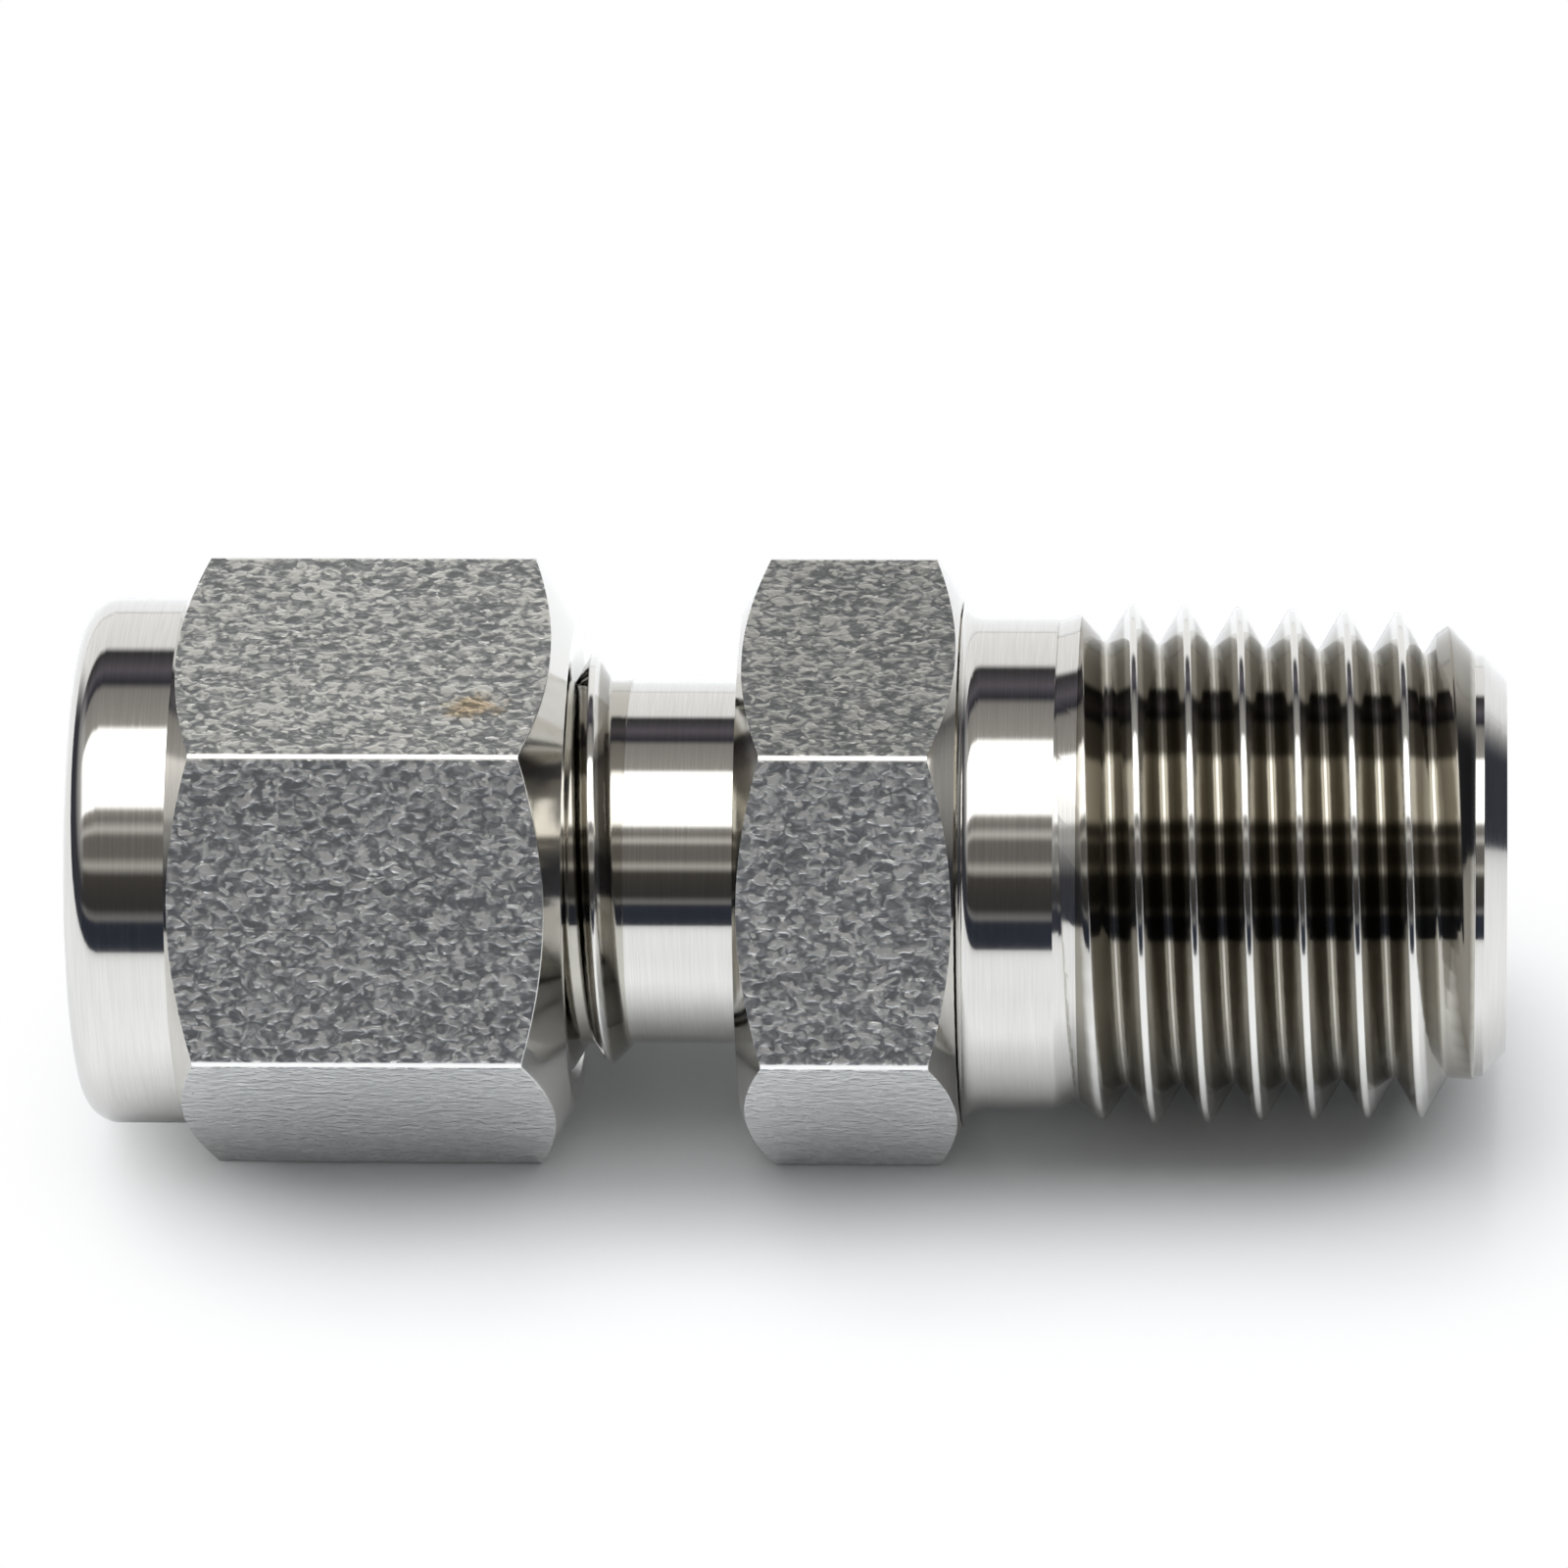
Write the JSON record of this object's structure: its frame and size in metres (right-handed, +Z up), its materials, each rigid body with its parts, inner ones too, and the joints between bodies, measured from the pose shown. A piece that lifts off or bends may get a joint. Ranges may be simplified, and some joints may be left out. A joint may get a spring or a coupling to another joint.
{
  "type": "compression male connector",
  "caption": "Straight compression tube fitting with a hexagon nut, two ferrules, a hexagon body and a tapered male pipe thread.",
  "frame": {"origin": "on the axis at the tube stop, the shoulder inside the body that the tube's end meets", "axes": "+X along the axis from the nut to the pipe thread's end, +Z up, square to the hexagons' top flats"},
  "size_m": [0.0378, 0.0164, 0.0142],
  "materials": {
    "bar_steel": "hexagon flats as drawn, turned faces polished",
    "ferrule_steel": "fine turned"
  },
  "bodies": {
    "connector": {"body": "bar_steel"},
    "ferrules": {"front_ferrule": "ferrule_steel", "back_ferrule": "ferrule_steel"},
    "nut": {"nut": "bar_steel"}
  },
  "joints": [
    {"name": "ferrules_slide", "type": "slide", "parent": "connector", "child": "ferrules", "axis": [-1, 0, 0], "range_m": [0, 0.0051]},
    {"name": "nut_turn", "type": "hinge", "parent": "ferrules", "child": "nut", "pos_m": [-0.01, 0, 0], "axis": [-1, 0, 0], "range_deg": [0, 1440]}
  ],
  "couplings": [
    {"joint": "ferrules_slide", "follows": "nut_turn", "m_per_rad": 0.00020213}
  ]
}
